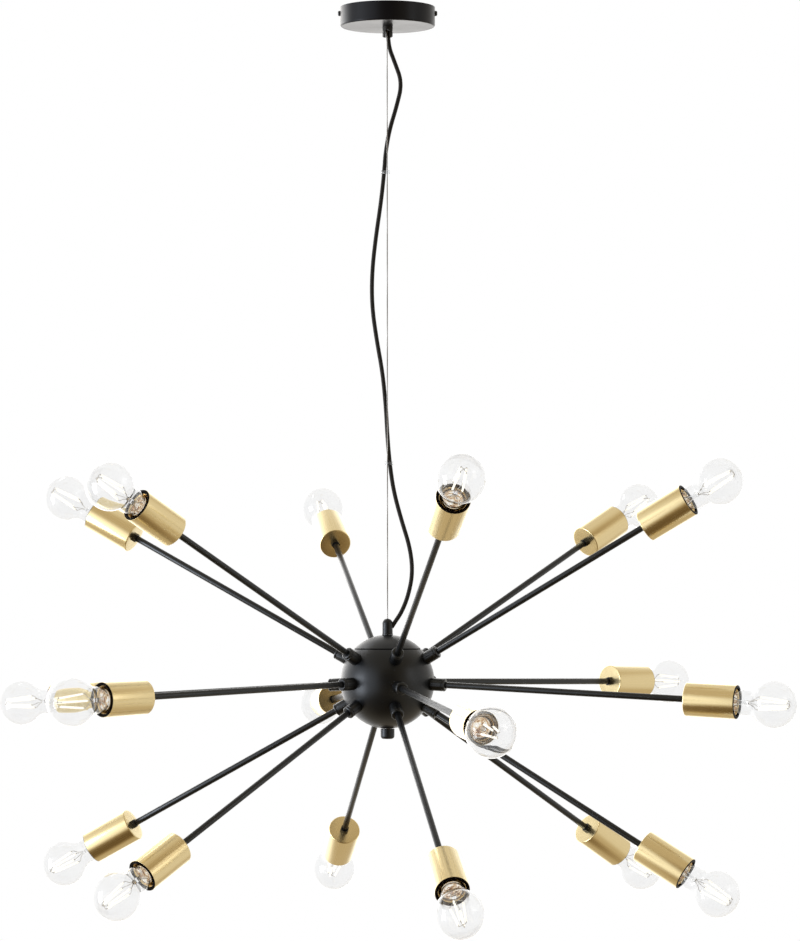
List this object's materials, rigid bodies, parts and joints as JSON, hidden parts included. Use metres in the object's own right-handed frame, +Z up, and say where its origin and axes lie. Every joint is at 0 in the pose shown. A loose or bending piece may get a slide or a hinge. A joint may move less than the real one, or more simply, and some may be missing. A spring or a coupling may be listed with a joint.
{
  "type": "sputnik chandelier",
  "caption": "Hanging sputnik chandelier: ball hub on a steel wire with a cord, radiating rods with brass socket sleeves and clear round bulbs under a ceiling canopy.",
  "frame": {"origin": "centre of the back face of the ceiling bracket, on the ceiling plane", "axes": "+Z up into the ceiling, -Y to the front, +X to the right seen from the front; the bracket's two slots lie along X"},
  "size_m": [1.0121, 1.0361, 1.1523],
  "materials": {
    "canopy_black": "satin black powder coat",
    "black_metal": "matte black powder coat",
    "satin_brass": "satin, lengthwise brushed",
    "contact_brass": "bright",
    "black_resin": "moulded black resin",
    "black_nylon": "moulded",
    "white_plastic": "moulded white",
    "zinc_steel": "zinc plated",
    "wire_steel": "bare steel wire",
    "cord_black": "black round cord sheath",
    "clear_plastic": "clear moulded",
    "cap_nickel": "nickel plated brass",
    "clear_glass": "clear glass with warm white filament rods inside"
  },
  "bodies": {
    "canopy": {"ceiling_bracket": "zinc_steel", "canopy_cover": "canopy_black", "canopy_side_screws": "black_metal", "canopy_gland": "black_nylon", "wire_gripper": "zinc_steel", "terminal_block": "white_plastic"},
    "bush": {"gland_bush": "black_nylon"},
    "hanger": {"suspension_wire": "wire_steel", "power_cord": "cord_black", "cord_clips": "clear_plastic"},
    "grip": {"hub_cord_grip": "black_metal", "wire_ferrule": "zinc_steel"},
    "fixture": {"hub_shell": "black_metal", "hub_lid": "black_metal", "hub_finial": "black_metal", "hub_tie_rod": "zinc_steel", "arm_collars": "black_metal", "arm_tubes": "black_metal", "arm_inner_nuts": "zinc_steel", "sleeve_locknuts": "black_metal", "socket_sleeves": "satin_brass", "lampholder_bodies": "black_resin", "lampholder_shells": "contact_brass", "lampholder_contacts": "contact_brass"},
    "cap_top_15": {"bulb_top_15_cap": "cap_nickel"},
    "glass_top_15": {"bulb_top_15_glass": "clear_glass"},
    "cap_top_75": {"bulb_top_75_cap": "cap_nickel"},
    "glass_top_75": {"bulb_top_75_glass": "clear_glass"},
    "cap_top_135": {"bulb_top_135_cap": "cap_nickel"},
    "glass_top_135": {"bulb_top_135_glass": "clear_glass"},
    "cap_top_195": {"bulb_top_195_cap": "cap_nickel"},
    "glass_top_195": {"bulb_top_195_glass": "clear_glass"},
    "cap_top_255": {"bulb_top_255_cap": "cap_nickel"},
    "glass_top_255": {"bulb_top_255_glass": "clear_glass"},
    "cap_top_315": {"bulb_top_315_cap": "cap_nickel"},
    "glass_top_315": {"bulb_top_315_glass": "clear_glass"},
    "cap_mid_15": {"bulb_mid_15_cap": "cap_nickel"},
    "glass_mid_15": {"bulb_mid_15_glass": "clear_glass"},
    "cap_mid_75": {"bulb_mid_75_cap": "cap_nickel"},
    "glass_mid_75": {"bulb_mid_75_glass": "clear_glass"},
    "cap_mid_135": {"bulb_mid_135_cap": "cap_nickel"},
    "glass_mid_135": {"bulb_mid_135_glass": "clear_glass"},
    "cap_mid_195": {"bulb_mid_195_cap": "cap_nickel"},
    "glass_mid_195": {"bulb_mid_195_glass": "clear_glass"},
    "cap_mid_255": {"bulb_mid_255_cap": "cap_nickel"},
    "glass_mid_255": {"bulb_mid_255_glass": "clear_glass"},
    "cap_mid_315": {"bulb_mid_315_cap": "cap_nickel"},
    "glass_mid_315": {"bulb_mid_315_glass": "clear_glass"},
    "cap_low_15": {"bulb_low_15_cap": "cap_nickel"},
    "glass_low_15": {"bulb_low_15_glass": "clear_glass"},
    "cap_low_75": {"bulb_low_75_cap": "cap_nickel"},
    "glass_low_75": {"bulb_low_75_glass": "clear_glass"},
    "cap_low_135": {"bulb_low_135_cap": "cap_nickel"},
    "glass_low_135": {"bulb_low_135_glass": "clear_glass"},
    "cap_low_195": {"bulb_low_195_cap": "cap_nickel"},
    "glass_low_195": {"bulb_low_195_glass": "clear_glass"},
    "cap_low_255": {"bulb_low_255_cap": "cap_nickel"},
    "glass_low_255": {"bulb_low_255_glass": "clear_glass"},
    "cap_low_315": {"bulb_low_315_cap": "cap_nickel"},
    "glass_low_315": {"bulb_low_315_glass": "clear_glass"}
  },
  "joints": [
    {"name": "swing_front_back", "type": "hinge", "parent": "canopy", "child": "bush", "pos_m": [0, 0, -0.034], "axis": [1, 0, 0], "range_deg": [-8, 8]},
    {"name": "swing_side", "type": "hinge", "parent": "bush", "child": "hanger", "pos_m": [0, 0, -0.034], "axis": [0, 1, 0], "range_deg": [-8, 8]},
    {"name": "height_adjust", "type": "slide", "parent": "hanger", "child": "grip", "axis": [0, 0, 1], "range_m": [0, 0.45], "deforming": ["suspension_wire", "power_cord", "cord_clips"]},
    {"name": "hub_turn", "type": "hinge", "parent": "grip", "child": "fixture", "pos_m": [0, 0, -0.8593], "axis": [0, 0, 1], "range_deg": [-90, 90]},
    {"name": "bulb_top_15_turn", "type": "hinge", "parent": "cap_top_15", "child": "glass_top_15", "pos_m": [0.07712, -0.38595, -0.64114], "axis": [0.1714, -0.8577, 0.4848], "range_deg": [0, 2160]},
    {"name": "bulb_top_15_advance", "type": "slide", "parent": "fixture", "child": "cap_top_15", "axis": [0.1714, -0.8577, 0.4848], "range_m": [0, 0.0218]},
    {"name": "bulb_top_75_turn", "type": "hinge", "parent": "cap_top_75", "child": "glass_top_75", "pos_m": [0.36694, -0.13356, -0.63566], "axis": [0.8154, -0.2968, 0.497], "range_deg": [0, 2160]},
    {"name": "bulb_top_75_advance", "type": "slide", "parent": "fixture", "child": "cap_top_75", "axis": [0.8154, -0.2968, 0.497], "range_m": [0, 0.0218]},
    {"name": "bulb_top_135_turn", "type": "hinge", "parent": "cap_top_135", "child": "glass_top_135", "pos_m": [0.30079, 0.26239, -0.65151], "axis": [0.6684, 0.5831, 0.4617], "range_deg": [0, 2160]},
    {"name": "bulb_top_135_advance", "type": "slide", "parent": "fixture", "child": "cap_top_135", "axis": [0.6684, 0.5831, 0.4617], "range_m": [0, 0.0218]},
    {"name": "bulb_top_195_turn", "type": "hinge", "parent": "cap_top_195", "child": "glass_top_195", "pos_m": [-0.08238, 0.39093, -0.65221], "axis": [-0.1831, 0.8687, 0.4602], "range_deg": [0, 2160]},
    {"name": "bulb_top_195_advance", "type": "slide", "parent": "fixture", "child": "cap_top_195", "axis": [-0.1831, 0.8687, 0.4602], "range_m": [0, 0.0218]},
    {"name": "bulb_top_255_turn", "type": "hinge", "parent": "cap_top_255", "child": "glass_top_255", "pos_m": [-0.37675, 0.12387, -0.64665], "axis": [-0.8372, 0.2753, 0.4726], "range_deg": [0, 2160]},
    {"name": "bulb_top_255_advance", "type": "slide", "parent": "fixture", "child": "cap_top_255", "axis": [-0.8372, 0.2753, 0.4726], "range_m": [0, 0.0218]},
    {"name": "bulb_top_315_turn", "type": "hinge", "parent": "cap_top_315", "child": "glass_top_315", "pos_m": [-0.29647, -0.26229, -0.64527], "axis": [-0.6588, -0.5829, 0.4756], "range_deg": [0, 2160]},
    {"name": "bulb_top_315_advance", "type": "slide", "parent": "fixture", "child": "cap_top_315", "axis": [-0.6588, -0.5829, 0.4756], "range_m": [0, 0.0218]},
    {"name": "bulb_mid_15_turn", "type": "hinge", "parent": "cap_mid_15", "child": "glass_mid_15", "pos_m": [0.10759, -0.43474, -0.90321], "axis": [0.2391, -0.9661, -0.0976], "range_deg": [0, 2160]},
    {"name": "bulb_mid_15_advance", "type": "slide", "parent": "fixture", "child": "cap_mid_15", "axis": [0.2391, -0.9661, -0.0976], "range_m": [0, 0.0218]},
    {"name": "bulb_mid_75_turn", "type": "hinge", "parent": "cap_mid_75", "child": "glass_mid_75", "pos_m": [0.42394, -0.14929, -0.88128], "axis": [0.9421, -0.3318, -0.0488], "range_deg": [0, 2160]},
    {"name": "bulb_mid_75_advance", "type": "slide", "parent": "fixture", "child": "cap_mid_75", "axis": [0.9421, -0.3318, -0.0488], "range_m": [0, 0.0218]},
    {"name": "bulb_mid_135_turn", "type": "hinge", "parent": "cap_mid_135", "child": "glass_mid_135", "pos_m": [0.33908, 0.2958, -0.86401], "axis": [0.7535, 0.6573, -0.0105], "range_deg": [0, 2160]},
    {"name": "bulb_mid_135_advance", "type": "slide", "parent": "fixture", "child": "cap_mid_135", "axis": [0.7535, 0.6573, -0.0105], "range_m": [0, 0.0218]},
    {"name": "bulb_mid_195_turn", "type": "hinge", "parent": "cap_mid_195", "child": "glass_mid_195", "pos_m": [-0.08637, 0.44022, -0.89461], "axis": [-0.1919, 0.9783, -0.0785], "range_deg": [0, 2160]},
    {"name": "bulb_mid_195_advance", "type": "slide", "parent": "fixture", "child": "cap_mid_195", "axis": [-0.1919, 0.9783, -0.0785], "range_m": [0, 0.0218]},
    {"name": "bulb_mid_255_turn", "type": "hinge", "parent": "cap_mid_255", "child": "glass_mid_255", "pos_m": [-0.42958, 0.13134, -0.88599], "axis": [-0.9546, 0.2919, -0.0593], "range_deg": [0, 2160]},
    {"name": "bulb_mid_255_advance", "type": "slide", "parent": "fixture", "child": "cap_mid_255", "axis": [-0.9546, 0.2919, -0.0593], "range_m": [0, 0.0218]},
    {"name": "bulb_mid_315_turn", "type": "hinge", "parent": "cap_mid_315", "child": "glass_mid_315", "pos_m": [-0.33369, -0.30151, -0.875], "axis": [-0.7415, -0.67, -0.0349], "range_deg": [0, 2160]},
    {"name": "bulb_mid_315_advance", "type": "slide", "parent": "fixture", "child": "cap_mid_315", "axis": [-0.7415, -0.67, -0.0349], "range_m": [0, 0.0218]},
    {"name": "bulb_low_15_turn", "type": "hinge", "parent": "cap_low_15", "child": "glass_low_15", "pos_m": [0.07592, -0.37652, -1.09375], "axis": [0.1687, -0.8367, -0.521], "range_deg": [0, 2160]},
    {"name": "bulb_low_15_advance", "type": "slide", "parent": "fixture", "child": "cap_low_15", "axis": [0.1687, -0.8367, -0.521], "range_m": [0, 0.0218]},
    {"name": "bulb_low_75_turn", "type": "hinge", "parent": "cap_low_75", "child": "glass_low_75", "pos_m": [0.36252, -0.1341, -1.08972], "axis": [0.8056, -0.298, -0.512], "range_deg": [0, 2160]},
    {"name": "bulb_low_75_advance", "type": "slide", "parent": "fixture", "child": "cap_low_75", "axis": [0.8056, -0.298, -0.512], "range_m": [0, 0.0218]},
    {"name": "bulb_low_135_turn", "type": "hinge", "parent": "cap_low_135", "child": "glass_low_135", "pos_m": [0.30182, 0.24528, -1.08566], "axis": [0.6707, 0.5451, -0.503], "range_deg": [0, 2160]},
    {"name": "bulb_low_135_advance", "type": "slide", "parent": "fixture", "child": "cap_low_135", "axis": [0.6707, 0.5451, -0.503], "range_m": [0, 0.0218]},
    {"name": "bulb_low_195_turn", "type": "hinge", "parent": "cap_low_195", "child": "glass_low_195", "pos_m": [-0.06787, 0.37722, -1.09509], "axis": [-0.1508, 0.8383, -0.524], "range_deg": [0, 2160]},
    {"name": "bulb_low_195_advance", "type": "slide", "parent": "fixture", "child": "cap_low_195", "axis": [-0.1508, 0.8383, -0.524], "range_m": [0, 0.0218]},
    {"name": "bulb_low_255_turn", "type": "hinge", "parent": "cap_low_255", "child": "glass_low_255", "pos_m": [-0.37767, 0.1198, -1.07264], "axis": [-0.8393, 0.2662, -0.4741], "range_deg": [0, 2160]},
    {"name": "bulb_low_255_advance", "type": "slide", "parent": "fixture", "child": "cap_low_255", "axis": [-0.8393, 0.2662, -0.4741], "range_m": [0, 0.0218]},
    {"name": "bulb_low_315_turn", "type": "hinge", "parent": "cap_low_315", "child": "glass_low_315", "pos_m": [-0.28899, -0.26204, -1.08362], "axis": [-0.6422, -0.5823, -0.4985], "range_deg": [0, 2160]},
    {"name": "bulb_low_315_advance", "type": "slide", "parent": "fixture", "child": "cap_low_315", "axis": [-0.6422, -0.5823, -0.4985], "range_m": [0, 0.0218]}
  ],
  "couplings": [
    {"joint": "bulb_top_15_advance", "follows": "bulb_top_15_turn", "m_per_rad": 0.00057757},
    {"joint": "bulb_top_75_advance", "follows": "bulb_top_75_turn", "m_per_rad": 0.00057757},
    {"joint": "bulb_top_135_advance", "follows": "bulb_top_135_turn", "m_per_rad": 0.00057757},
    {"joint": "bulb_top_195_advance", "follows": "bulb_top_195_turn", "m_per_rad": 0.00057757},
    {"joint": "bulb_top_255_advance", "follows": "bulb_top_255_turn", "m_per_rad": 0.00057757},
    {"joint": "bulb_top_315_advance", "follows": "bulb_top_315_turn", "m_per_rad": 0.00057757},
    {"joint": "bulb_mid_15_advance", "follows": "bulb_mid_15_turn", "m_per_rad": 0.00057757},
    {"joint": "bulb_mid_75_advance", "follows": "bulb_mid_75_turn", "m_per_rad": 0.00057757},
    {"joint": "bulb_mid_135_advance", "follows": "bulb_mid_135_turn", "m_per_rad": 0.00057757},
    {"joint": "bulb_mid_195_advance", "follows": "bulb_mid_195_turn", "m_per_rad": 0.00057757},
    {"joint": "bulb_mid_255_advance", "follows": "bulb_mid_255_turn", "m_per_rad": 0.00057757},
    {"joint": "bulb_mid_315_advance", "follows": "bulb_mid_315_turn", "m_per_rad": 0.00057757},
    {"joint": "bulb_low_15_advance", "follows": "bulb_low_15_turn", "m_per_rad": 0.00057757},
    {"joint": "bulb_low_75_advance", "follows": "bulb_low_75_turn", "m_per_rad": 0.00057757},
    {"joint": "bulb_low_135_advance", "follows": "bulb_low_135_turn", "m_per_rad": 0.00057757},
    {"joint": "bulb_low_195_advance", "follows": "bulb_low_195_turn", "m_per_rad": 0.00057757},
    {"joint": "bulb_low_255_advance", "follows": "bulb_low_255_turn", "m_per_rad": 0.00057757},
    {"joint": "bulb_low_315_advance", "follows": "bulb_low_315_turn", "m_per_rad": 0.00057757}
  ]
}
